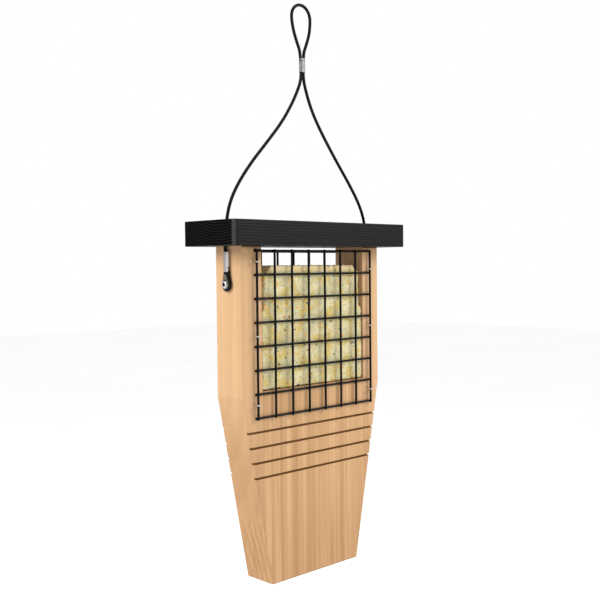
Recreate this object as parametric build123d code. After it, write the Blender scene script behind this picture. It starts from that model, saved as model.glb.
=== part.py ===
from build123d import *
import math
import os

# A hanging suet feeder of cedar with a tapered tail board, two welded wire grids and a roof that slides on
# its hanging cable. Millimetres, +Z up, front towards -Y, left and right as seen from the front.
# The origin is the inside top of the hanging loop, where a hook bears.

# Body, cut from one tapered outline
BODY_WIDTH = 168.0
BODY_DEPTH = 34.5
BOARD_THICKNESS = 21.3
BODY_TOP = -213.0
LEDGE_Z = -335.0
TAPER_START = -340.0
BODY_BOTTOM = -502.0
BASE_WIDTH = 105.0
EDGE_ROUNDING = 1.6

# Grooves for the bird's claws, the same on the front and the back
GROOVE_COUNT = 4
GROOVE_FIRST = -369.0
GROOVE_PITCH = 13.0
GROOVE_WIDTH = 2.0
GROOVE_DEPTH = 2.5

# Dowels between each side board and the tail board
DOWEL_DIAMETER = 6.0
DOWEL_HOLE_CLEARANCE = 0.05
DOWEL_HEIGHTS = (-350.0, -388.0)
DOWEL_IN_SIDE = 8.0
DOWEL_IN_TAIL = 17.0
DOWEL_END_GAP = 0.5

# Roof board
ROOF_WIDTH = 211.0
ROOF_DEPTH = 67.0
ROOF_THICKNESS = 21.0
ROOF_CORNER = 4.5
ROOF_EDGE = 0.6
ROOF_HOLE_DIAMETER = 5.0
ROOF_HOLE_Y = 0.6

# Welded wire grids
CELL = 20.0
CELL_COUNT = 7
GRID_TOP = -217.0
WIRE_DIAMETER = 2.0
WIRE_STUB = 0.3
WELD_DEPTH = 0.3

# Staples over the grid's outer wires
STAPLE_CELLS = {"left": (0.46, 3.56, 6.43), "right": (0.82, 3.45, 6.43)}
STAPLE_WIDTH = 5.0
STAPLE_WIRE = 1.0
STAPLE_LEG = 9.0
STAPLE_ROUNDING = 0.45

# Suet cake, which leans on the front grid and narrows towards its top in two steps
SUET_WIDTH = 124.8
SUET_MIDDLE_WIDTH = 118.6
SUET_TOP_WIDTH = 106.0
SUET_DEPTH = 30.0
SUET_HEIGHT = 106.2
SUET_MIDDLE_STEP = 39.0
SUET_TOP_STEP = 5.5
SUET_STEP_SLOPE = 3.0
SUET_GRID_GAP = 0.25
SUET_CORNER = 3.0
SUET_EDGE = 1.2

# Hanging cable and its crimp ferrules
CABLE_DIAMETER = 2.8
CABLE_X = 86.0
FERRULE_WALL = 0.4
CRIMP_DEPTH = 0.15
CRIMP_COUNT = 3
TOP_FERRULE_X = 3.7
TOP_FERRULE_TOP = -45.3
TOP_FERRULE_BOTTOM = -57.5
END_FERRULE_TOP = -217.8
END_FERRULE_BOTTOM = -234.4

# Eye, thimble and screw on each side
EYE_Y = -0.1
EYE_Z = -245.0
THIMBLE_BORE_RADIUS = 1.9
THIMBLE_WEB = 0.6
THIMBLE_FLANGE_RADIUS = 3.9
THIMBLE_FLANGE = 0.4
THIMBLE_TIP = 4.6
THIMBLE_FLANGE_TIP = 7.6
THIMBLE_TIP_RADIUS = 0.75
THIMBLE_FLANGE_TIP_RADIUS = 1.2
SCREW_SHANK_DIAMETER = 3.2
SCREW_LENGTH_IN_WOOD = 15.0
SCREW_POINT = 3.0
SCREW_POINT_RADIUS = 0.3
SCREW_HEAD_DIAMETER = 6.0
SCREW_HEAD_HEIGHT = 1.5
RECESS_WIDTH = 1.0
RECESS_LENGTH = 2.8
RECESS_DEPTH = 0.9

HALF_WIDTH = BODY_WIDTH / 2
HALF_DEPTH = BODY_DEPTH / 2
INNER_HALF = HALF_WIDTH - BOARD_THICKNESS
CABLE_RADIUS = CABLE_DIAMETER / 2
SLIP = 0.05
THIMBLE_HALF_WEB = CABLE_RADIUS + SLIP
EYE_STAND_OFF = CABLE_X - HALF_WIDTH + THIMBLE_HALF_WEB + THIMBLE_FLANGE + SLIP
SIDES = {"left": -1, "right": 1}
FACES = {"front": -1, "back": 1}

# The cable's routes, chosen by hand, as (x, z) pairs in the plane of the cable
LOOP_ROUTE = [
    (2.3, -57.5), (2.3, -41.5), (-2.9, -31.0), (-6.8, -21.5), (-8.6, -12.9), (-8.6, -6.8), (-5.6, -1.6),
    (-0.4, 1.4), (5.7, 1.4), (10.9, -1.6), (13.9, -6.8), (14.2, -13.4), (12.9, -23.0), (9.0, -33.0),
    (5.1, -41.5), (5.1, -57.5),
]
STRAND_ROUTES = {
    "left": [
        (2.3, -57.5), (2.3, -64.0), (-1.9, -74.0), (-9.9, -88.0), (-21.8, -104.5), (-38.8, -122.6),
        (-56.4, -140.6), (-70.8, -158.0), (-81.0, -174.6), (-86.0, -193.0), (-86.0, -203.0),
    ],
    "right": [
        (5.1, -57.5), (5.1, -64.0), (8.6, -75.0), (14.4, -89.0), (25.4, -106.4), (45.2, -131.6),
        (66.8, -157.0), (79.8, -175.4), (86.0, -193.0), (86.0, -203.0),
    ],
}
# The drop through the roof to the end ferrule, as (y, z) pairs: it steps back into line with the ferrule
DROP_ROUTE = [(0.0, -203.0), (0.0, -207.0), (1.3, -213.5), (1.3, -217.8)]
# The eye's route, as (y, z) pairs from the screw's axis: down through the ferrule, round the thimble and back
EYE_ROUTE = [(1.4, 27.2), (1.4, 8.0), (5.3, -1.4), (0.0, -5.5), (-5.3, -1.4), (-1.4, 8.0), (-1.4, 27.2)]


def box_between(low, high):
    size = [b - a for a, b in zip(low, high)]
    centre = [(a + b) / 2 for a, b in zip(low, high)]
    return Pos(*centre) * Box(*size)


def body_blank():
    """The whole tapered outline with its rounded edges and grooves, before it is cut into boards."""
    half_base = BASE_WIDTH / 2
    outline = Polyline(
        (-HALF_WIDTH, BODY_TOP), (HALF_WIDTH, BODY_TOP), (HALF_WIDTH, TAPER_START), (half_base, BODY_BOTTOM),
        (-half_base, BODY_BOTTOM), (-HALF_WIDTH, TAPER_START), close=True,
    )
    face = Plane.XZ * make_face(outline)
    blank = extrude(face, amount=HALF_DEPTH, both=True)
    rims = blank.faces().filter_by(Axis.Y).edges()
    blank = fillet(rims, EDGE_ROUNDING)
    for side in FACES.values():
        for row in range(GROOVE_COUNT):
            z = GROOVE_FIRST - row * GROOVE_PITCH
            groove = Box(BODY_WIDTH + 2, 2 * GROOVE_DEPTH, GROOVE_WIDTH)
            blank -= Pos(0, side * HALF_DEPTH, z) * groove
    return blank


def dowel_group(side, clearance):
    """The dowels of one side, or with a clearance the holes that take them."""
    radius = DOWEL_DIAMETER / 2 + clearance
    end_gap = DOWEL_END_GAP if clearance else 0.0
    length = DOWEL_IN_SIDE + DOWEL_IN_TAIL + 2 * end_gap
    centre_x = side * (INNER_HALF + (DOWEL_IN_SIDE - DOWEL_IN_TAIL) / 2)
    dowel = Rotation(0, 90, 0) * Cylinder(radius, length)
    return Compound([Pos(centre_x, 0, z) * dowel for z in DOWEL_HEIGHTS])


def side_board(side, blank):
    outer = side * (HALF_WIDTH + 1)
    inner = side * INNER_HALF
    keep = box_between(
        (min(outer, inner), -HALF_DEPTH, BODY_BOTTOM), (max(outer, inner), HALF_DEPTH, BODY_TOP))
    board = blank & keep
    board -= dowel_group(side, DOWEL_HOLE_CLEARANCE)
    pilot = Rotation(0, 90, 0) * Cylinder(SCREW_SHANK_DIAMETER / 2, SCREW_LENGTH_IN_WOOD)
    return board - Pos(side * (HALF_WIDTH - SCREW_LENGTH_IN_WOOD / 2), EYE_Y, EYE_Z) * pilot


def tail_board(blank):
    keep = box_between((-INNER_HALF, -HALF_DEPTH, BODY_BOTTOM), (INNER_HALF, HALF_DEPTH, LEDGE_Z))
    board = blank & keep
    for side in SIDES.values():
        board -= dowel_group(side, DOWEL_HOLE_CLEARANCE)
    return board


def roof_board():
    bottom = BODY_TOP
    roof = Pos(0, 0, bottom + ROOF_THICKNESS / 2) * Box(ROOF_WIDTH, ROOF_DEPTH, ROOF_THICKNESS)
    roof = fillet(roof.edges().filter_by(Axis.Z), ROOF_CORNER)
    roof = fillet(roof.faces().filter_by(Axis.Z).edges(), ROOF_EDGE)
    for side in SIDES.values():
        hole = Cylinder(ROOF_HOLE_DIAMETER / 2, ROOF_THICKNESS + 2)
        roof -= Pos(side * CABLE_X, ROOF_HOLE_Y, bottom + ROOF_THICKNESS / 2) * hole
    return roof


def wire_grid(face):
    """Horizontal wires lie on the boards, with the vertical wires welded on outside them."""
    span = CELL * CELL_COUNT
    length = span + 2 * WIRE_STUB + WIRE_DIAMETER
    horizontal_y = face * (HALF_DEPTH + WIRE_DIAMETER / 2)
    vertical_y = face * (HALF_DEPTH + 1.5 * WIRE_DIAMETER - WELD_DEPTH)
    wire = Cylinder(WIRE_DIAMETER / 2, length)
    lying = Rotation(0, 90, 0) * wire
    wires = []
    for index in range(CELL_COUNT + 1):
        wires.append(Pos(0, horizontal_y, GRID_TOP - index * CELL) * lying)
    for index in range(CELL_COUNT + 1):
        x = -span / 2 + index * CELL
        wires.append(Pos(x, vertical_y, GRID_TOP - span / 2) * wire)
    return wires[0].fuse(*wires[1:])


def staple(face):
    """A staple with its crown's middle at the origin and its legs running into the wood."""
    crown = Box(STAPLE_WIDTH, STAPLE_WIRE, STAPLE_WIRE)
    crown = fillet(crown.edges().filter_by(Axis.Z), STAPLE_ROUNDING)
    leg = Box(STAPLE_WIRE, STAPLE_LEG, STAPLE_WIRE)
    reach = (STAPLE_WIDTH - STAPLE_WIRE) / 2
    for x in (-reach, reach):
        crown += Pos(x, -face * STAPLE_LEG / 2, 0) * leg
    return crown


def staples(face):
    crown_y = face * (HALF_DEPTH + 2 * WIRE_DIAMETER - WELD_DEPTH + STAPLE_WIRE / 2 + SLIP)
    edge_x = CELL * CELL_COUNT / 2
    one = staple(face)
    group = []
    for side_name, side in SIDES.items():
        for cells in STAPLE_CELLS[side_name]:
            group.append(Pos(side * edge_x, crown_y, GRID_TOP - cells * CELL) * one)
    return Compound(group)


def suet_cake():
    top = LEDGE_Z + SUET_HEIGHT
    right = [
        (SUET_TOP_WIDTH / 2, top), (SUET_TOP_WIDTH / 2, top - SUET_TOP_STEP + SUET_STEP_SLOPE / 2),
        (SUET_MIDDLE_WIDTH / 2, top - SUET_TOP_STEP - SUET_STEP_SLOPE / 2),
        (SUET_MIDDLE_WIDTH / 2, top - SUET_MIDDLE_STEP + SUET_STEP_SLOPE / 2),
        (SUET_WIDTH / 2, top - SUET_MIDDLE_STEP - SUET_STEP_SLOPE / 2), (SUET_WIDTH / 2, LEDGE_Z),
    ]
    left = [(-x, z) for x, z in reversed(right)]
    face = make_face(Polyline(*right, *left, close=True))
    top_corners = face.vertices().group_by(Axis.Y)[-1]
    face = fillet(top_corners, SUET_CORNER)
    cake = extrude(Plane.XZ * face, amount=SUET_DEPTH / 2, both=True)
    cake = fillet(cake.faces().filter_by(Axis.Y).edges(), SUET_EDGE)
    return Pos(0, -HALF_DEPTH + SUET_GRID_GAP + SUET_DEPTH / 2, 0) * cake


def bend_radii(route):
    """Each bend's radius, as large as the two runs beside it allow."""
    radii = []
    for before, corner, after in zip(route, route[1:], route[2:]):
        arriving = Vector(*corner) - Vector(*before)
        leaving = Vector(*after) - Vector(*corner)
        turn = math.radians(arriving.get_angle(leaving))
        radii.append(0.45 * min(arriving.length, leaving.length) / math.tan(turn / 2))
    return radii


def cable(name, route):
    radii = bend_radii(route)
    path = FilletPolyline(*route, radius=radii)
    section = Plane(path @ 0, z_dir=path % 0) * Circle(CABLE_RADIUS)
    tube = sweep(section, path)
    ratio = tube.volume / (math.pi * CABLE_RADIUS ** 2 * path.length)
    print(name, "length", round(path.length, 1), "volume over section times length", round(ratio, 4),
          "bend radii", [round(radius, 1) for radius in radii])
    return tube


def cable_loop():
    return cable("cable_loop", [(x, 0, z) for x, z in LOOP_ROUTE])


def cable_strand(side_name):
    return cable("cable_strand_" + side_name, [(x, 0, z) for x, z in STRAND_ROUTES[side_name]])


def cable_eye(side_name):
    x = SIDES[side_name] * CABLE_X
    return cable("cable_eye_" + side_name, [(x, EYE_Y + y, EYE_Z + z) for y, z in EYE_ROUTE])


def cable_drop(side_name):
    x = SIDES[side_name] * CABLE_X
    return cable("cable_drop_" + side_name, [(x, y, z) for y, z in DROP_ROUTE])


def ferrule(length):
    """An oval crimp sleeve round two cables that lie side by side along X, with shallow crimped bands."""
    width = 2 * CABLE_DIAMETER + 2 * FERRULE_WALL
    thickness = CABLE_DIAMETER + 2 * FERRULE_WALL
    sleeve = extrude(SlotOverall(width, thickness), amount=length / 2, both=True)
    band_height = length / (2 * CRIMP_COUNT + 1)
    bore = SlotOverall(2 * CABLE_DIAMETER, CABLE_DIAMETER)
    waist = SlotOverall(width - 2 * CRIMP_DEPTH, thickness - 2 * CRIMP_DEPTH)
    ring = extrude(SlotOverall(width + 2, thickness + 2) - waist, amount=band_height / 2, both=True)
    for row in range(CRIMP_COUNT):
        sleeve -= Pos(0, 0, (row - (CRIMP_COUNT - 1) / 2) * 2 * band_height) * ring
    return sleeve - extrude(bore, amount=length, both=True)


def top_ferrule():
    length = TOP_FERRULE_TOP - TOP_FERRULE_BOTTOM
    return Pos(TOP_FERRULE_X, 0, TOP_FERRULE_BOTTOM + length / 2) * ferrule(length)


def end_ferrule(side):
    length = END_FERRULE_TOP - END_FERRULE_BOTTOM
    place = Pos(side * CABLE_X, EYE_Y, END_FERRULE_BOTTOM + length / 2)
    return place * Rotation(0, 0, 90) * ferrule(length)


def teardrop(radius, tip, tip_radius):
    """A teardrop outline round the screw's axis, with its point up, in the XY plane."""
    low = CenterArc((0, 0), radius, 0, 360)
    high = CenterArc((0, tip), tip_radius, 0, 360)
    return make_face(make_hull([low, high]))


def thimble(side):
    bore = teardrop(THIMBLE_BORE_RADIUS, THIMBLE_TIP, THIMBLE_TIP_RADIUS / 2)
    web = teardrop(THIMBLE_BORE_RADIUS + THIMBLE_WEB, THIMBLE_TIP, THIMBLE_TIP_RADIUS)
    flange = teardrop(THIMBLE_FLANGE_RADIUS, THIMBLE_FLANGE_TIP, THIMBLE_FLANGE_TIP_RADIUS)
    body = extrude(web, amount=THIMBLE_HALF_WEB, both=True)
    for direction in (-1, 1):
        offset = direction * (THIMBLE_HALF_WEB + THIMBLE_FLANGE / 2)
        body += Pos(0, 0, offset) * extrude(flange, amount=THIMBLE_FLANGE / 2, both=True)
    body -= extrude(bore, amount=2 * THIMBLE_HALF_WEB, both=True)
    standing = Plane((side * CABLE_X, EYE_Y, EYE_Z), x_dir=(0, 1, 0), z_dir=(1, 0, 0))
    return standing * body


def stack_outward(side, start, length, solid):
    """Place a round solid with its length along X, from a distance outside the side board's face."""
    return Pos(side * (HALF_WIDTH + start + length / 2), EYE_Y, EYE_Z) * Rotation(0, side * 90, 0) * solid


def side_screw(side):
    """A low pan-head screw with a cross recess, from the wood out through the thimble."""
    head = Cylinder(SCREW_HEAD_DIAMETER / 2, SCREW_HEAD_HEIGHT)
    head = fillet(head.edges().sort_by(Axis.Z)[-1], 0.4 * SCREW_HEAD_HEIGHT)
    for turn in (0, 90):
        slot = Rotation(0, 0, turn) * Box(RECESS_LENGTH, RECESS_WIDTH, 2 * RECESS_DEPTH)
        head -= Pos(0, 0, SCREW_HEAD_HEIGHT / 2) * slot
    shank_length = SCREW_LENGTH_IN_WOOD + EYE_STAND_OFF
    shank = Pos(0, 0, SCREW_POINT / 2) * Cylinder(SCREW_SHANK_DIAMETER / 2, shank_length - SCREW_POINT)
    point = Rotation(180, 0, 0) * Cone(SCREW_SHANK_DIAMETER / 2, SCREW_POINT_RADIUS, SCREW_POINT)
    shank += Pos(0, 0, (SCREW_POINT - shank_length) / 2) * point
    placed_shank = stack_outward(side, -SCREW_LENGTH_IN_WOOD, shank_length, shank)
    return stack_outward(side, EYE_STAND_OFF, SCREW_HEAD_HEIGHT, head) + placed_shank


blank = body_blank()
nodes = {
    "roof_board": roof_board(),
    "tail_board": tail_board(blank),
    "suet_cake": suet_cake(),
    "top_ferrule": top_ferrule(),
    "cable_loop": cable_loop(),
}
for name, side in SIDES.items():
    nodes["side_board_" + name] = side_board(side, blank)
    nodes["dowels_" + name] = dowel_group(side, 0.0)
    nodes["cable_strand_" + name] = cable_strand(name)
    nodes["cable_drop_" + name] = cable_drop(name)
    nodes["cable_eye_" + name] = cable_eye(name)
    nodes["end_ferrule_" + name] = end_ferrule(side)
    nodes["thimble_" + name] = thimble(side)
    nodes["side_screw_" + name] = side_screw(side)
for name, face in FACES.items():
    nodes["wire_grid_" + name] = wire_grid(face)
    nodes["staples_" + name] = staples(face)

os.makedirs("parts", exist_ok=True)
for name, shape in nodes.items():
    export_step(shape, os.path.join("parts", name + ".step"))
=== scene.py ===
import math
import random

import bmesh
import bpy
from mathutils import Matrix, Vector, noise


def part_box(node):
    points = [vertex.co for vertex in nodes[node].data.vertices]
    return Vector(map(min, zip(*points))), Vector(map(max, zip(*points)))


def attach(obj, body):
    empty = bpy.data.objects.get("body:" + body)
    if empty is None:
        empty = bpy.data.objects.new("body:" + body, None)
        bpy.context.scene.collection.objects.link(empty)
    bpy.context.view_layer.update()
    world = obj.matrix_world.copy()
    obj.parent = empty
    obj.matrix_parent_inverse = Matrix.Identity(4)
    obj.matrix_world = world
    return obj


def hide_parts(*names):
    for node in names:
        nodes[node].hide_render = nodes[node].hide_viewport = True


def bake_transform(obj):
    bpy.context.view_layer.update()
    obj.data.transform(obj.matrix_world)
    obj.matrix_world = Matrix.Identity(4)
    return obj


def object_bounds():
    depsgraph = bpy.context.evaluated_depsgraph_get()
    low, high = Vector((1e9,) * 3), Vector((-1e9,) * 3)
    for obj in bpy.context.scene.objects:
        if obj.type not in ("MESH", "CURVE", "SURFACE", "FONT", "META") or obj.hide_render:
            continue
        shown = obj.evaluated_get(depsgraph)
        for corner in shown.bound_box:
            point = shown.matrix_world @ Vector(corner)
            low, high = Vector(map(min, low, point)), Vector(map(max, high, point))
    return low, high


MM = 0.001

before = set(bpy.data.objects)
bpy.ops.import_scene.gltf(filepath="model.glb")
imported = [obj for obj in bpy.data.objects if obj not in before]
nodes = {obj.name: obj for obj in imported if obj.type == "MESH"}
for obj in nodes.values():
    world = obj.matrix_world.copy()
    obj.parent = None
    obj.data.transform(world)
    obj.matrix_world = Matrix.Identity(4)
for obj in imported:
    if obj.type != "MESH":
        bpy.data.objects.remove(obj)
cad_low, cad_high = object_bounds()

# The camera, in metres and degrees, in the row frame
CAMERA_PLACE = (-0.5693, -0.5897, -0.2298)
CAMERA_HEADING = 43.91
CAMERA_DIP = 2.15
CAMERA_ROLL = -0.55
CAMERA_LENS_MM = 54.85
SENSOR_MM = 36.0

SIDE_AMBIENT = 0.25
TOP_AMBIENT = 0.95
FLOOR_GLOW = 0.2
FLOOR_DROP = 0.25  # below the feeder, in metres
FLOOR_HALF = 6.0

# The cable's routes, in millimetres. Loop and strands are (x, z), the drop
# is (y, z), and the eye is (y, z) from the screw
CABLE_DIAMETER = 2.8 * MM
LOOP_ROUTE = [
    (2.3, -57.5), (2.3, -41.5), (-2.9, -31.0), (-6.8, -21.5), (-8.6, -12.9), (-8.6, -6.8), (-5.6, -1.6),
    (-0.4, 1.4), (5.7, 1.4), (10.9, -1.6), (13.9, -6.8), (14.2, -13.4), (12.9, -23.0), (9.0, -33.0),
    (5.1, -41.5), (5.1, -57.5),
]
STRAND_ROUTES = {
    "left": [
        (2.3, -57.5), (2.3, -64.0), (-1.9, -74.0), (-9.9, -88.0), (-21.8, -104.5), (-38.8, -122.6),
        (-56.4, -140.6), (-70.8, -158.0), (-81.0, -174.6), (-86.0, -193.0), (-86.0, -203.0),
    ],
    "right": [
        (5.1, -57.5), (5.1, -64.0), (8.6, -75.0), (14.4, -89.0), (25.4, -106.4), (45.2, -131.6),
        (66.8, -157.0), (79.8, -175.4), (86.0, -193.0), (86.0, -203.0),
    ],
}
DROP_ROUTE = [(0.0, -203.0), (0.0, -207.0), (1.3, -213.5), (1.3, -217.8)]
EYE_CENTRE = (-0.1, -245.0)
EYE_ROUTE = [(1.4, 27.2), (1.4, 8.0), (5.3, -1.4), (0.0, -5.5), (-5.3, -1.4), (-1.4, 8.0), (-1.4, 27.2)]
SIDES = ("left", "right")
ROUTE_STEPS = 20
TUBE_SIDES = 28
RECESS_DIAMETER = 2.8  # of the screws' driver recess, in millimetres


# ---------------------------------------------------------------- camera, floor and light


def make_camera():
    """A camera with the heading turned from +Y towards +X, then dipped and rolled."""
    heading, dip, roll = (math.radians(a) for a in (CAMERA_HEADING, CAMERA_DIP, CAMERA_ROLL))
    ahead = Vector((
        math.sin(heading) * math.cos(dip), math.cos(heading) * math.cos(dip), -math.sin(dip)))
    level = Vector((math.cos(heading), -math.sin(heading), 0))
    upright = level.cross(ahead)
    across = level * math.cos(roll) + upright * math.sin(roll)
    up = upright * math.cos(roll) - level * math.sin(roll)
    data = bpy.data.cameras.new("camera")
    data.lens = CAMERA_LENS_MM
    data.sensor_width = SENSOR_MM
    data.clip_start = 0.01
    camera = bpy.data.objects.new("camera", data)
    bpy.context.collection.objects.link(camera)
    rotation = Matrix((across, up, -ahead)).transposed().to_4x4()
    camera.matrix_world = Matrix.Translation(CAMERA_PLACE) @ rotation
    bpy.context.scene.camera = camera


def add_light(name, direction, distance, size, power, colour):
    """A square soft light that looks at the middle of the feeder."""
    target = (cad_low + cad_high) / 2
    data = bpy.data.lights.new(name, "AREA")
    data.shape = "SQUARE"
    data.size = size
    data.energy = power
    data.color = colour
    light = bpy.data.objects.new(name, data)
    bpy.context.collection.objects.link(light)
    toward = Vector(direction).normalized()
    light.location = target + toward * distance
    light.rotation_euler = toward.to_track_quat("Z", "Y").to_euler()
    light.visible_camera = False


def make_world():
    """Light that is soft from above and dim round the sides, with a plain white background."""
    world = bpy.data.worlds.new("studio")
    bpy.context.scene.world = world
    world.use_nodes = True
    tree = world.node_tree
    tree.nodes.clear()
    output = tree.nodes.new("ShaderNodeOutputWorld")
    mix = tree.nodes.new("ShaderNodeMixShader")
    path = tree.nodes.new("ShaderNodeLightPath")
    place = tree.nodes.new("ShaderNodeTexCoord")
    parts = tree.nodes.new("ShaderNodeSeparateXYZ")
    rise = tree.nodes.new("ShaderNodeMapRange")
    rise.interpolation_type = "SMOOTHSTEP"
    limits = {"From Min": 0.0, "From Max": 0.8, "To Min": SIDE_AMBIENT, "To Max": TOP_AMBIENT}
    for name, value in limits.items():
        rise.inputs[name].default_value = value
    lighting = tree.nodes.new("ShaderNodeBackground")
    backdrop = tree.nodes.new("ShaderNodeBackground")
    lighting.inputs["Color"].default_value = (1.0, 1.0, 1.0, 1.0)
    backdrop.inputs["Color"].default_value = (1.0, 1.0, 1.0, 1.0)
    tree.links.new(place.outputs["Generated"], parts.inputs["Vector"])
    tree.links.new(parts.outputs["Z"], rise.inputs["Value"])
    tree.links.new(rise.outputs["Result"], lighting.inputs["Strength"])
    tree.links.new(path.outputs["Is Camera Ray"], mix.inputs["Fac"])
    tree.links.new(lighting.outputs["Background"], mix.inputs[1])
    tree.links.new(backdrop.outputs["Background"], mix.inputs[2])
    tree.links.new(mix.outputs["Shader"], output.inputs["Surface"])


def make_floor():
    """A wide sheet of pale paper well below the feeder, which hangs clear of it."""
    mesh = bpy.data.meshes.new("floor")
    z = cad_low.z - FLOOR_DROP
    signs = ((-1, -1), (1, -1), (1, 1), (-1, 1))
    mesh.from_pydata([(a * FLOOR_HALF, b * FLOOR_HALF, z) for a, b in signs], [], [(0, 1, 2, 3)])
    floor = bpy.data.objects.new("floor", mesh)
    bpy.context.collection.objects.link(floor)
    material, shader = new_material("floor_paper")
    place = add(material, "TexCoord").outputs["Object"]
    inputs = {"Vector": place, "Scale": 3.0, "Detail": 3.0}
    mottle = add(material, "TexNoise", {}, inputs).outputs["Fac"]
    set_input(material, shader, "Base Color", colour_ramp(
        material, mottle, [(0.3, (0.93, 0.93, 0.93)), (0.7, (0.96, 0.96, 0.96))]))
    shader.inputs["Roughness"].default_value = 0.9
    shader.inputs["Emission Color"].default_value = (1.0, 1.0, 1.0, 1.0)
    shader.inputs["Emission Strength"].default_value = FLOOR_GLOW
    mesh.materials.append(material)


# ---------------------------------------------------------------- material helpers


def new_material(name):
    """A material and its one surface shader."""
    material = bpy.data.materials.new(name)
    material.use_nodes = True
    tree = material.node_tree
    tree.nodes.clear()
    output = tree.nodes.new("ShaderNodeOutputMaterial")
    shader = tree.nodes.new("ShaderNodeBsdfPrincipled")
    tree.links.new(shader.outputs["BSDF"], output.inputs["Surface"])
    return material, shader


def set_input(material, node, name, value):
    """Give a node's input a value, or link it to another node's output."""
    if isinstance(value, bpy.types.NodeSocket):
        material.node_tree.links.new(value, node.inputs[name])
    else:
        node.inputs[name].default_value = value


def add(material, kind, settings=None, inputs=None):
    """Add a shader node, with its settings and its inputs given or linked."""
    node = material.node_tree.nodes.new("ShaderNode" + kind)
    for name, value in (settings or {}).items():
        setattr(node, name, value)
    for name, value in (inputs or {}).items():
        set_input(material, node, name, value)
    return node


def maths(material, operation, *values, clamp=False):
    inputs = dict(enumerate(values))
    return add(material, "Math", {"operation": operation, "use_clamp": clamp}, inputs).outputs["Value"]


def vector_maths(material, operation, first, second):
    node = add(material, "VectorMath", {"operation": operation}, {0: first, 1: second})
    return node.outputs["Vector"]


def colour_ramp(material, factor, stops):
    """A smooth ramp through (place, (red, green, blue)) stops."""
    node = add(material, "ValToRGB", {}, {"Fac": factor})
    elements = node.color_ramp.elements
    while len(elements) < len(stops):
        elements.new(0.5)
    for element, (place, colour) in zip(elements, stops):
        element.position = place
        element.color = (*colour, 1.0)
    return node.outputs["Color"]


def ramp(material, value, low, high, start=0.0, end=1.0):
    """A value eased from start to end as it goes from low to high."""
    settings = {"interpolation_type": "SMOOTHSTEP"}
    inputs = {"Value": value, "From Min": low, "From Max": high, "To Min": start, "To Max": end}
    return add(material, "MapRange", settings, inputs).outputs["Result"]


def mix_colour(material, factor, first, second, blend="MIX"):
    """The first colour, changed towards the second by a factor."""
    settings = {"data_type": "RGBA", "blend_type": blend}
    node = add(material, "Mix", settings)
    for socket, value in ((0, factor), (6, first), (7, second)):
        if isinstance(value, bpy.types.NodeSocket):
            material.node_tree.links.new(value, node.inputs[socket])
        elif socket == 0:
            node.inputs[socket].default_value = value
        else:
            node.inputs[socket].default_value = (*value, 1.0)
    return node.outputs[2]


def bump(material, shader, height, distance):
    """Raise the surface a little, by a distance in metres where height is 1."""
    node = add(material, "Bump", {}, {"Height": height, "Distance": distance, "Strength": 1.0})
    set_input(material, shader, "Normal", node.outputs["Normal"])


def millimetres(material):
    """The point in the row frame, in millimetres."""
    place = add(material, "TexCoord").outputs["Object"]
    return vector_maths(material, "MULTIPLY", place, (1000.0, 1000.0, 1000.0))


def facing_of(material):
    """A node whose X, Y and Z say which way the surface faces."""
    normal = add(material, "NewGeometry").outputs["True Normal"]
    return add(material, "SeparateXYZ", {}, {"Vector": normal})


def noise_at(material, place, scales, detail=3.0, roughness=0.5, shift=(0.0, 0.0, 0.0)):
    """Noise with its own size in millimetres along each axis."""
    shifted = vector_maths(material, "ADD", place, shift)
    scaled = vector_maths(material, "MULTIPLY", shifted, tuple(1.0 / s for s in scales))
    inputs = {"Vector": scaled, "Scale": 1.0, "Detail": detail, "Roughness": roughness}
    return add(material, "TexNoise", {}, inputs).outputs["Fac"]


# ---------------------------------------------------------------- wood


PAINTED_LOW_SHADE = (0.70, 0.58, 0.48)  # painted shade: multiplies the wood's colour low on the boards
GROOVE_HALF_WIDTH = 1.12  # of the painted shade, a little over the cut's own, in millimetres
GROOVE_DEPTH = 2.6
# Painted shade inside the saw cuts, in a dark brown.
GROOVE_SHADE = (0.27, 0.115, 0.036)


def along(axis, length, across):
    """Noise sizes for a feature that is long along the grain."""
    return tuple(length if name == axis else across for name in "xyz")


def wood_rings(material, place, axis, pith, spacing, wander):
    """Growth rings round a pith line: 0 in the pale early wood, and 1 at each dark late line."""
    centred = vector_maths(material, "SUBTRACT", place, pith)
    kept = tuple(0.0 if name == axis else 1.0 for name in "xyz")
    flat = vector_maths(material, "MULTIPLY", centred, kept)
    radius = add(material, "VectorMath", {"operation": "LENGTH"}, {0: flat}).outputs["Value"]
    drift = noise_at(material, place, along(axis, 420.0, 60.0), detail=2.0)
    ripple = noise_at(material, place, along(axis, 160.0, 9.0), detail=2.0, shift=(31.0, 7.0, 83.0))
    shifted = maths(material, "MULTIPLY_ADD", drift, wander, radius)
    shifted = maths(material, "MULTIPLY_ADD", ripple, 0.2 * wander, shifted)
    phase = maths(material, "FRACT", maths(material, "DIVIDE", shifted, spacing))
    rise = ramp(material, phase, 0.2, 0.9)
    fall = ramp(material, phase, 0.92, 1.0, 1.0, 0.0)
    return maths(material, "MULTIPLY", rise, fall)


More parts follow.
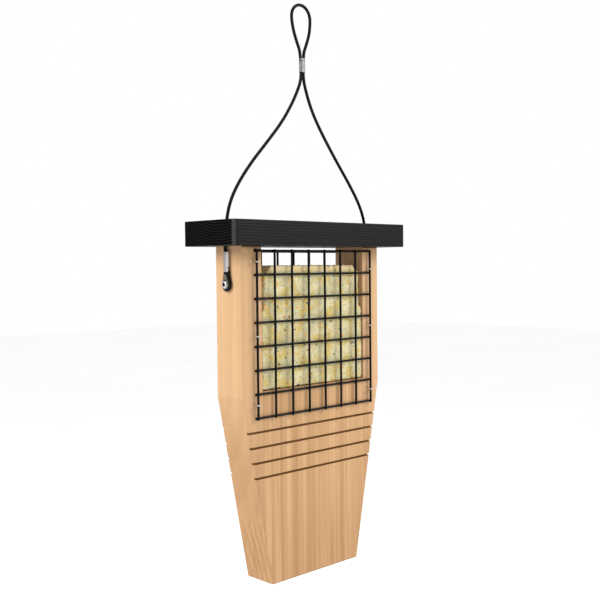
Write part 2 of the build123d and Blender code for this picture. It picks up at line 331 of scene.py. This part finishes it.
def cedar(name, pith, spacing, pale, deep, line, ring_strength, streak_strength, low_shade):
    """Planed cedar with upright grain.

    Pale and deep are its broad tones and line is the colour of its late wood. The last argument is
    painted shade, darker down the board: the height where it starts, the height where it is full, and how
    much.
    """
    material, shader = new_material(name)
    place = millimetres(material)
    broad = noise_at(material, place, along("z", 420.0, 13.0), detail=3.0, shift=(7.0, 3.0, 11.0))
    streak = noise_at(material, place, along("z", 210.0, 2.4), detail=4.0, roughness=0.62)
    fibre = noise_at(material, place, along("z", 22.0, 0.3), detail=3.0, roughness=0.6)
    rings = wood_rings(material, place, "z", pith, spacing, 9.0)
    tone = maths(material, "MULTIPLY_ADD", streak, streak_strength, maths(
        material, "MULTIPLY", broad, 1.0 - streak_strength))
    colour = colour_ramp(material, tone, [(0.36, deep), (0.62, pale)])
    colour = mix_colour(material, maths(material, "MULTIPLY", rings, ring_strength), colour, line)
    pores = ramp(material, fibre, 0.55, 0.74, 0.0, 0.2)
    colour = mix_colour(material, pores, colour, line)
    facing = facing_of(material)
    across_grain = ramp(material, maths(material, "ABSOLUTE", facing.outputs["Z"]), 0.08, 0.5, 0.0, 1.0)
    colour = mix_colour(material, across_grain, colour, line)
    # Painted shade: darken the wood towards the bottom of the board, where less light falls.
    height = add(material, "SeparateXYZ", {}, {"Vector": place}).outputs["Z"]
    top, bottom, share = low_shade
    low_shading = ramp(material, height, bottom, top, share, 0.0)
    colour = mix_colour(material, low_shading, colour, PAINTED_LOW_SHADE, "MULTIPLY")
    set_input(material, shader, "Base Color", colour)
    set_input(material, shader, "Roughness", ramp(material, streak, 0.3, 0.7, 0.58, 0.72))
    shader.inputs["Specular IOR Level"].default_value = 0.3
    relief = maths(material, "MULTIPLY_ADD", fibre, 0.5, maths(material, "MULTIPLY", rings, 0.5))
    bump(material, shader, relief, 0.00010)
    return material, shader, colour


def groove_levels():
    """The heights, in millimetres, of the middles of the grooves sawn across the tail board."""
    low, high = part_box("tail_board")
    wall = high.y
    levels = set()
    for vertex in nodes["tail_board"].data.vertices:
        in_cut = 0.75 * wall < abs(vertex.co.y) < 0.93 * wall
        if in_cut and low.z + 4 * MM < vertex.co.z < high.z - 4 * MM:
            levels.add(round(vertex.co.z / MM, 1))
    edges = sorted(levels, reverse=True)
    cuts = zip(edges[::2], edges[1::2])
    return [(upper + lower) / 2 for upper, lower in cuts if upper - lower > 1.0]


def shade_grooves(material, shader, colour, board):
    """Paint shade onto the wood inside the saw cuts, where their walls shade it."""
    levels = groove_levels()
    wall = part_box(board)[1].y / MM
    pitch = levels[0] - levels[1]
    place = add(material, "SeparateXYZ", {}, {"Vector": millimetres(material)})
    below_first = maths(material, "SUBTRACT", levels[0], place.outputs["Z"])
    steps = maths(material, "DIVIDE", below_first, pitch)
    nearest = maths(material, "MINIMUM", maths(material, "ROUND", steps), len(levels) - 1.0)
    nearest = maths(material, "MAXIMUM", nearest, 0.0)
    away = maths(material, "ABSOLUTE", maths(material, "SUBTRACT", steps, nearest))
    beside = maths(material, "LESS_THAN", away, GROOVE_HALF_WIDTH / pitch)
    depth = maths(material, "SUBTRACT", wall, maths(material, "ABSOLUTE", place.outputs["Y"]))
    floor_end = ramp(material, depth, GROOVE_DEPTH, GROOVE_DEPTH + 0.4, 1.0, 0.0)
    cut = maths(material, "MULTIPLY", ramp(material, depth, 0.05, 0.6), floor_end)
    inside = maths(material, "MULTIPLY", beside, maths(material, "MULTIPLY", cut, 0.7))
    # Painted shade inside the cuts.
    groove_shaded = mix_colour(material, inside, colour, GROOVE_SHADE)
    set_input(material, shader, "Base Color", groove_shaded)


def stained_roof():
    """Black stain over grain that runs along the board, with darker ends and shinier corners."""
    material, shader = new_material("roof_stain")
    place = millimetres(material)
    rings = wood_rings(material, place, "x", (0.0, -16.0, -126.0), 2.3, 7.0)
    fibre = noise_at(material, place, along("x", 30.0, 0.35), detail=4.0, roughness=0.65)
    streak = noise_at(material, place, along("x", 160.0, 3.0), detail=3.0)
    facing = facing_of(material)
    end = ramp(material, maths(material, "ABSOLUTE", facing.outputs["X"]), 0.72, 0.9)
    side_tone = maths(material, "MULTIPLY_ADD", fibre, 0.5, maths(material, "MULTIPLY", rings, 0.3))
    side_colour = colour_ramp(
        material, side_tone, [(0.2, (0.0048, 0.0047, 0.0046)), (0.75, (0.0098, 0.0095, 0.0092))])
    end_colour = colour_ramp(
        material, rings, [(0.15, (0.0005, 0.0005, 0.0005)), (0.95, (0.0085, 0.0085, 0.0085))])
    set_input(material, shader, "Base Color", mix_colour(material, end, side_colour, end_colour))
    set_input(material, shader, "Roughness", ramp(material, streak, 0.3, 0.7, 0.4, 0.5))
    slant = maths(material, "MULTIPLY", facing.outputs["X"], facing.outputs["Y"])
    corner = ramp(material, maths(material, "ABSOLUTE", slant), 0.25, 0.48)
    sheen = maths(material, "MULTIPLY_ADD", corner, 0.5, maths(material, "MULTIPLY_ADD", end, -0.09, 0.11))
    set_input(material, shader, "Specular IOR Level", sheen)
    bump(material, shader, maths(material, "MULTIPLY_ADD", rings, 0.5, side_tone), 0.00018)
    return material


def plain_dowel():
    """Birch, with its grain along the dowel."""
    material, shader = new_material("dowel_wood")
    place = millimetres(material)
    fibre = noise_at(material, place, along("x", 9.0, 0.4), detail=3.0)
    set_input(material, shader, "Base Color", colour_ramp(
        material, fibre, [(0.35, (0.50, 0.33, 0.17)), (0.65, (0.66, 0.47, 0.27))]))
    shader.inputs["Roughness"].default_value = 0.7
    bump(material, shader, fibre, 0.0001)
    return material


# ---------------------------------------------------------------- metal, vinyl and suet


def vinyl(name, colour, paler, roughness, grain_mm, height):
    """A soft black plastic coat with faint unevenness from what is under it."""
    material, shader = new_material(name)
    place = millimetres(material)
    mottle = noise_at(material, place, (grain_mm,) * 3, detail=4.0, roughness=0.6)
    set_input(material, shader, "Base Color", colour_ramp(material, mottle, [(0.3, colour), (0.75, paler)]))
    set_input(material, shader, "Roughness", ramp(material, mottle, 0.3, 0.7, roughness, roughness + 0.12))
    shader.inputs["Specular IOR Level"].default_value = 0.1
    bump(material, shader, mottle, height)
    return material


def metal(name, colour, darker, roughness, grain_mm, scratch_axis, height):
    """A plated metal with fine marks along one axis and a little tarnish."""
    material, shader = new_material(name)
    place = millimetres(material)
    marks = noise_at(material, place, along(scratch_axis, 8.0 * grain_mm, grain_mm), detail=4.0)
    tarnish = noise_at(material, place, (2.4, 2.4, 2.4), detail=3.0)
    mixed = maths(material, "MULTIPLY_ADD", marks, 0.4, maths(material, "MULTIPLY", tarnish, 0.6))
    set_input(material, shader, "Base Color", colour_ramp(material, mixed, [(0.3, darker), (0.62, colour)]))
    shader.inputs["Metallic"].default_value = 1.0
    set_input(material, shader, "Roughness", ramp(material, mixed, 0.3, 0.7, roughness + 0.12, roughness))
    bump(material, shader, marks, height)
    return material


def screw_metal():
    """Bright zinc plate, with painted shade inside the driver recess in the middle of the head."""
    material, shader = new_material("screw_steel")
    place = millimetres(material)
    away = vector_maths(material, "SUBTRACT", place, (0.0, *EYE_CENTRE))
    flat = vector_maths(material, "MULTIPLY", away, (0.0, 1.0, 1.0))
    radius = add(material, "VectorMath", {"operation": "LENGTH"}, {0: flat}).outputs["Value"]
    marks = noise_at(material, place, (0.8, 0.8, 0.8), detail=4.0)
    plate = colour_ramp(material, marks, [(0.3, (0.72, 0.72, 0.70)), (0.62, (0.92, 0.92, 0.92))])
    # Painted shade: the driver recess is darkened in the colour, standing in for the shade inside it.
    recess = ramp(material, radius, 0.5 * RECESS_DIAMETER, 0.65 * RECESS_DIAMETER, 0.95, 0.0)
    set_input(material, shader, "Base Color", mix_colour(material, recess, plate, (0.02, 0.02, 0.02)))
    shader.inputs["Metallic"].default_value = 1.0
    set_input(material, shader, "Roughness", ramp(material, marks, 0.3, 0.7, 0.36, 0.26))
    bump(material, shader, marks, 0.00001)
    return material


def fat(top):
    """Rendered fat: waxy and pale, with yellow and brown patches where corn and nuts show."""
    material, shader = new_material("suet_fat")
    place = millimetres(material)
    cloud = noise_at(material, place, (15.0, 15.0, 15.0), detail=3.0)
    patch = noise_at(material, place, (9.0, 9.0, 9.0), detail=3.0, roughness=0.6, shift=(40.0, 9.0, 3.0))
    speck = noise_at(material, place, (2.4, 2.4, 2.4), detail=3.0, shift=(5.0, 50.0, 20.0))
    crumb = noise_at(material, place, (0.9, 0.9, 0.9), detail=3.0)
    colour = colour_ramp(material, cloud, [(0.36, (0.50, 0.46, 0.26)), (0.64, (0.68, 0.62, 0.38))])
    yellow = ramp(material, patch, 0.46, 0.66, 0.0, 0.9)
    colour = mix_colour(material, yellow, colour, (0.62, 0.48, 0.13))
    brown = maths(material, "MULTIPLY", ramp(material, speck, 0.52, 0.62), ramp(material, patch, 0.44, 0.58))
    colour = mix_colour(material, maths(material, "MULTIPLY", brown, 0.6), colour, (0.48, 0.27, 0.07))
    grey = ramp(material, speck, 0.44, 0.33, 0.0, 0.7)
    colour = mix_colour(material, grey, colour, (0.29, 0.26, 0.17))
    height = add(material, "SeparateXYZ", {}, {"Vector": place}).outputs["Z"]
    # A paler band painted along the top.
    rim = ramp(material, height, (top - SUET_RIM) / MM, (top - 0.6 * SUET_RIM) / MM, 0.0, 0.65)
    colour = mix_colour(material, rim, colour, (0.80, 0.62, 0.36))
    set_input(material, shader, "Base Color", colour)
    shader.inputs["Subsurface Weight"].default_value = 0.85
    shader.inputs["Subsurface Radius"].default_value = (1.0, 0.8, 0.5)
    shader.inputs["Subsurface Scale"].default_value = 0.0035
    set_input(material, shader, "Roughness", ramp(material, crumb, 0.3, 0.7, 0.42, 0.6))
    shader.inputs["Specular IOR Level"].default_value = 0.35
    relief = maths(material, "MULTIPLY_ADD", speck, 0.7, maths(material, "MULTIPLY", crumb, 0.3))
    bump(material, shader, relief, 0.0006)
    return material


def kernel(name, pale, dark, roughness):
    """A seed or a chip of corn: mottled, with a dry skin."""
    material, shader = new_material(name)
    place = millimetres(material)
    mottle = noise_at(material, place, (1.3, 1.3, 1.3), detail=3.0)
    set_input(material, shader, "Base Color", colour_ramp(material, mottle, [(0.35, dark), (0.65, pale)]))
    shader.inputs["Roughness"].default_value = roughness
    bump(material, shader, mottle, 0.0003)
    return material


# ---------------------------------------------------------------- cable


def line_of(points):
    """The points along an open spline that has the route's points as its control points."""
    data = bpy.data.curves.new("route", "CURVE")
    data.dimensions = "3D"
    data.resolution_u = ROUTE_STEPS
    spline = data.splines.new("NURBS")
    spline.points.add(len(points) - 1)
    for target, place in zip(spline.points, points):
        target.co = (*place, 1.0)
    spline.order_u = 3
    spline.use_endpoint_u = True
    curve = bpy.data.objects.new("route", data)
    bpy.context.collection.objects.link(curve)
    mesh = bpy.data.meshes.new_from_object(curve)
    line = [vertex.co.copy() for vertex in mesh.vertices]
    bpy.data.objects.remove(curve)
    bpy.data.curves.remove(data)
    bpy.data.meshes.remove(mesh)
    return line


def tube(name, line, radius, plane_normal):
    """A closed mesh tube round a line that lies in one plane."""
    mesh = bpy.data.meshes.new(name)
    verts = []
    faces = []
    top = len(line) - 1
    for index, centre in enumerate(line):
        before = line[max(index - 1, 0)]
        after = line[min(index + 1, top)]
        tangent = (after - before).normalized()
        across = tangent.cross(plane_normal).normalized()
        for step in range(TUBE_SIDES):
            turn = 2 * math.pi * step / TUBE_SIDES
            offset = math.cos(turn) * plane_normal + math.sin(turn) * across
            verts.append(centre + radius * offset)
    for ring in range(top):
        for step in range(TUBE_SIDES):
            following = (step + 1) % TUBE_SIDES
            low, high = ring * TUBE_SIDES, (ring + 1) * TUBE_SIDES
            faces.append((low + step, low + following, high + following, high + step))
    last = top * TUBE_SIDES
    faces.append(tuple(range(TUBE_SIDES))[::-1])
    faces.append(tuple(last + step for step in range(TUBE_SIDES)))
    mesh.from_pydata(verts, [], faces)
    mesh.validate()
    mesh.polygons.foreach_set("use_smooth", [len(face.vertices) == 4 for face in mesh.polygons])
    piece = bpy.data.objects.new(name, mesh)
    bpy.context.collection.objects.link(piece)
    return piece


def finish_cable(piece, material, replaced):
    """Give a stretch of cable its coat, and hide the CAD parts that it replaces."""
    piece.data.materials.append(material)
    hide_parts(*replaced)


def make_loop(material):
    """The loop that the feeder hangs by, with both its ends inside the top ferrule."""
    points = [Vector((x, 0, z)) * MM for x, z in LOOP_ROUTE]
    line = line_of(points)
    piece = tube("hanging_loop", line, CABLE_DIAMETER / 2, Vector((0, 1, 0)))
    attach(piece, "body")
    finish_cable(piece, material, ["cable_loop"])


def make_strand(side, material):
    """A strand from the top ferrule into the roof."""
    points = [Vector((x, 0, z)) * MM for x, z in STRAND_ROUTES[side]]
    line = line_of(points)
    piece = tube("strand_" + side, line, CABLE_DIAMETER / 2, Vector((0, 1, 0)))
    finish_cable(piece, material, ["cable_strand_" + side])
    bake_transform(piece)


def make_tail(side, material):
    """The cable from inside the roof down through the end ferrule, round the thimble and back."""
    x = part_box("cable_drop_" + side)[0].x / MM + CABLE_DIAMETER / 2 / MM
    centre_y, centre_z = EYE_CENTRE
    eye = [(x, centre_y + y, centre_z + z) for y, z in EYE_ROUTE]
    points = [Vector(place) * MM for place in [(x, y, z) for y, z in DROP_ROUTE] + eye[1:]]
    line = line_of(points)
    piece = tube("cable_end_" + side, line, CABLE_DIAMETER / 2, Vector((1, 0, 0)))
    replaced = ["cable_drop_" + side, "cable_eye_" + side]
    finish_cable(piece, material, replaced)
    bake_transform(piece)


# ---------------------------------------------------------------- suet cake

SUET_SKIN = 0.7 * MM  # how far the fat stays inside the CAD block, for the seeds that stand proud
SUET_MIDDLE_HALF = 59.3 * MM
SUET_TOP_HALF = 53.0 * MM
SUET_TOP_STEP = 5.5 * MM
SUET_MIDDLE_STEP = 39 * MM
SUET_SLOPE = 3 * MM
SUET_CORNER = 3 * MM
SUET_FOOT = 2 * MM  # radius of its lower corners
SUET_EDGE = 1.8 * MM
SUET_VOXEL = 1.25 * MM
SUET_RIM = 7 * MM  # the paler band painted along the top


def corner_arc(centre, radius, start, end, steps=6):
    """Points along an arc in the XZ plane, with its angles in degrees."""
    points = []
    for step in range(steps + 1):
        turn = math.radians(start + (end - start) * step / steps)
        points.append((centre[0] + radius * math.cos(turn), centre[1] + radius * math.sin(turn)))
    return points


def suet_outline(low, high):
    """The cake's front outline, which narrows towards the top in two steps."""
    wide = (high.x - low.x) / 2 - SUET_SKIN
    middle = SUET_MIDDLE_HALF - SUET_SKIN
    narrow = SUET_TOP_HALF - SUET_SKIN
    top = high.z - SUET_SKIN
    upper_step = high.z - SUET_TOP_STEP
    lower_step = high.z - SUET_MIDDLE_STEP
    right = corner_arc((narrow - SUET_CORNER, top - SUET_CORNER), SUET_CORNER, 90, 0)
    right += [(narrow, upper_step + SUET_SLOPE / 2), (middle, upper_step - SUET_SLOPE / 2)]
    right += [(middle, lower_step + SUET_SLOPE / 2), (wide, lower_step - SUET_SLOPE / 2)]
    foot = low.z + SUET_FOOT + 0.3 * MM
    right += corner_arc((wide - SUET_FOOT, foot), SUET_FOOT, 0, -90, 4)
    return right + [(-x, z) for x, z in reversed(right)]


def suet_body(low, high):
    """A rounded, slightly lumpy block of fat, remeshed and pushed in and out by noise."""
    outline = suet_outline(low, high)
    half_depth = (high.y - low.y) / 2 - SUET_SKIN
    middle_y = (high.y + low.y) / 2
    shape = bmesh.new()
    front = [shape.verts.new((x, middle_y - half_depth, z)) for x, z in outline]
    face = shape.faces.new(front)
    grown = bmesh.ops.extrude_face_region(shape, geom=[face])
    moved = [item for item in grown["geom"] if isinstance(item, bmesh.types.BMVert)]
    bmesh.ops.translate(shape, vec=(0, 2 * half_depth, 0), verts=moved)
    bmesh.ops.recalc_face_normals(shape, faces=shape.faces)
    mesh = bpy.data.meshes.new("suet_fat")
    shape.to_mesh(mesh)
    shape.free()
    cake = bpy.data.objects.new("suet_fat", mesh)
    bpy.context.collection.objects.link(cake)
    bevel = cake.modifiers.new("round", "BEVEL")
    bevel.width = SUET_EDGE
    bevel.segments = 5
    bevel.limit_method = "ANGLE"
    bevel.angle_limit = math.radians(60)
    remesh = cake.modifiers.new("even", "REMESH")
    remesh.mode = "VOXEL"
    remesh.voxel_size = SUET_VOXEL
    smooth = cake.modifiers.new("soften", "SMOOTH")
    smooth.iterations = 3
    finished = cake.evaluated_get(bpy.context.evaluated_depsgraph_get())
    final = bpy.data.meshes.new_from_object(finished)
    cake.modifiers.clear()
    cake.data = final
    cake.data.name = "suet_fat"
    for vertex in final.vertices:
        place = vertex.co
        lump = noise.noise(place / (11 * MM)) * 0.35 + noise.noise(place / (3.1 * MM)) * 0.25
        pit = max(0.0, noise.noise(place / (4.4 * MM) + Vector((7, 3, 1))) - 0.28) * 1.9
        vertex.co = place + vertex.normal * (lump - pit) * MM
    for vertex in final.vertices:
        for axis in range(3):
            vertex.co[axis] = min(max(vertex.co[axis], low[axis] + 0.2 * MM), high[axis] - 0.2 * MM)
    final.polygons.foreach_set("use_smooth", [True] * len(final.polygons))
    return cake


def scatter(name, cake, low, high, count, sizes, proud, material, chance):
    """Seeds or chips half sunk into the fat, as one mesh.

    Sizes are a seed's half lengths and proud is how far it may stand out, in millimetres.
    """
    surface = cake.data
    areas = [face.area for face in surface.polygons]
    picks = chance.choices(range(len(areas)), weights=areas, k=count)
    shape = bmesh.new()
    for pick in picks:
        face = surface.polygons[pick]
        outward = face.normal
        grow = chance.uniform(0.75, 1.2)
        stretch = Matrix.Diagonal([size * grow * MM for size in sizes]).to_4x4()
        turn = Matrix.Rotation(chance.uniform(0, 2 * math.pi), 4, "Z")
        stand = outward.to_track_quat("Z", "Y").to_matrix().to_4x4()
        tip = Matrix.Rotation(chance.uniform(-0.3, 0.3), 4, "X")
        sink = (sizes[2] * grow - proud * chance.uniform(0.3, 1.0)) * MM
        place = Matrix.Translation(face.center - outward * sink)
        made = bmesh.ops.create_icosphere(
            shape, subdivisions=2, radius=1.0, matrix=place @ stand @ turn @ tip @ stretch)
        for vertex in made["verts"]:
            rough = noise.noise(vertex.co / (1.1 * MM)) * 0.22 * MM
            vertex.co += outward * rough
            for axis in range(3):
                vertex.co[axis] = min(max(vertex.co[axis], low[axis]), high[axis])
    mesh = bpy.data.meshes.new(name)
    shape.to_mesh(mesh)
    shape.free()
    mesh.polygons.foreach_set("use_smooth", [True] * len(mesh.polygons))
    mesh.materials.append(material)
    piece = bpy.data.objects.new(name, mesh)
    bpy.context.collection.objects.link(piece)
    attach(piece, "suet")


def make_suet():
    """The cake of fat, with chips of corn and three kinds of seed in it."""
    low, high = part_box("suet_cake")
    cake = suet_body(low, high)
    cake.data.materials.append(fat(high.z))
    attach(cake, "suet")
    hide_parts("suet_cake")
    chance = random.Random(11)
    corn = kernel("corn_chip", (0.80, 0.52, 0.13), (0.66, 0.36, 0.07), 0.45)
    millet = kernel("millet_seed", (0.78, 0.68, 0.38), (0.62, 0.50, 0.22), 0.4)
    milo = kernel("milo_seed", (0.50, 0.20, 0.08), (0.30, 0.10, 0.04), 0.45)
    sunflower = kernel("sunflower_chip", (0.16, 0.15, 0.12), (0.05, 0.045, 0.04), 0.5)
    scatter("suet_corn", cake, low, high, 120, (2.3, 1.6, 1.0), 0.45, corn, chance)
    scatter("suet_millet", cake, low, high, 170, (1.0, 0.9, 0.9), 0.4, millet, chance)
    scatter("suet_milo", cake, low, high, 46, (1.4, 1.2, 1.0), 0.4, milo, chance)
    scatter("suet_sunflower", cake, low, high, 60, (2.2, 1.0, 0.8), 0.4, sunflower, chance)


# ---------------------------------------------------------------- CAD nodes


def paint(node, material):
    """Give a CAD node its one material."""
    mesh = nodes[node].data
    mesh.materials.clear()
    mesh.materials.append(material)


def paint_boards():
    """Cedar for the boards, paler at the sides than in the tail."""
    pale = (0.62, 0.395, 0.212)
    deep = (0.54, 0.33, 0.172)
    line = (0.40, 0.225, 0.10)
    piths = {"side_board_left": (-190.0, 38.0, 0.0), "side_board_right": (150.0, -40.0, 0.0)}
    for board, pith in piths.items():
        # The last tuple is painted shade low on the side boards.
        material, shader, colour = cedar(
            board + "_cedar", pith, 7.0, pale, deep, line, 0.22, 0.45, (-325.0, -405.0, 0.5))
        shade_grooves(material, shader, colour, board)
        paint(board, material)
    tail_pale = (0.63, 0.39, 0.198)
    tail_deep = (0.42, 0.235, 0.108)
    tail_line = (0.33, 0.17, 0.068)
    # The last tuple is painted shade low on the tail board.
    material, shader, colour = cedar(
        "tail_board_cedar", (14.0, 96.0, 0.0), 5.5, tail_pale, tail_deep, tail_line, 0.4, 0.62,
        (-410.0, -505.0, 0.3))
    shade_grooves(material, shader, colour, "tail_board")
    paint("tail_board", material)


def paint_fittings():
    """The roof, the grids and all that is metal."""
    paint("roof_board", stained_roof())
    dowel = plain_dowel()
    wire = vinyl("vinyl_wire", (0.0025, 0.0025, 0.0027), (0.006, 0.006, 0.0065), 0.36, 1.4, 0.00006)
    staple_steel = metal("staple_steel", (0.78, 0.78, 0.76), (0.45, 0.44, 0.42), 0.28, 0.3, "x", 0.00003)
    aluminium = metal("ferrule_aluminium", (0.60, 0.59, 0.58), (0.50, 0.49, 0.49), 0.34, 1.6, "z", 0.000004)
    thimble_steel = metal("thimble_steel", (0.30, 0.30, 0.27), (0.14, 0.14, 0.12), 0.38, 0.6, "z", 0.00002)
    zinc = screw_metal()
    paint("top_ferrule", metal(
        "dull_aluminium", (0.24, 0.235, 0.24), (0.19, 0.185, 0.19), 0.55, 1.6, "z", 0.0000005))
    for face in ("front", "back"):
        paint("wire_grid_" + face, wire)
        paint("staples_" + face, staple_steel)
    for side in SIDES:
        paint("dowels_" + side, dowel)
        paint("end_ferrule_" + side, aluminium)
        paint("thimble_" + side, thimble_steel)
        paint("side_screw_" + side, zinc)


make_camera()
cable_vinyl = vinyl("cable_vinyl", (0.0022, 0.0022, 0.0024), (0.006, 0.006, 0.0064), 0.42, 1.1, 0.00008)
make_loop(cable_vinyl)
for side in SIDES:
    make_strand(side, cable_vinyl)
    make_tail(side, cable_vinyl)
make_suet()
paint_boards()
paint_fittings()
make_floor()
make_world()
add_light("left_softbox", (-1.0, 0.2, 0.5), 1.0, 0.45, 6.6, (1.0, 0.985, 0.96))
add_light("right_key", (0.62, -0.66, 0.55), 1.3, 0.5, 12.0, (1.0, 0.985, 0.96))
add_light("front_fill", (-0.66, -0.68, 0.16), 1.6, 0.22, 2.2, (1.0, 1.0, 1.0))
bpy.context.scene.view_settings.view_transform = "Standard"
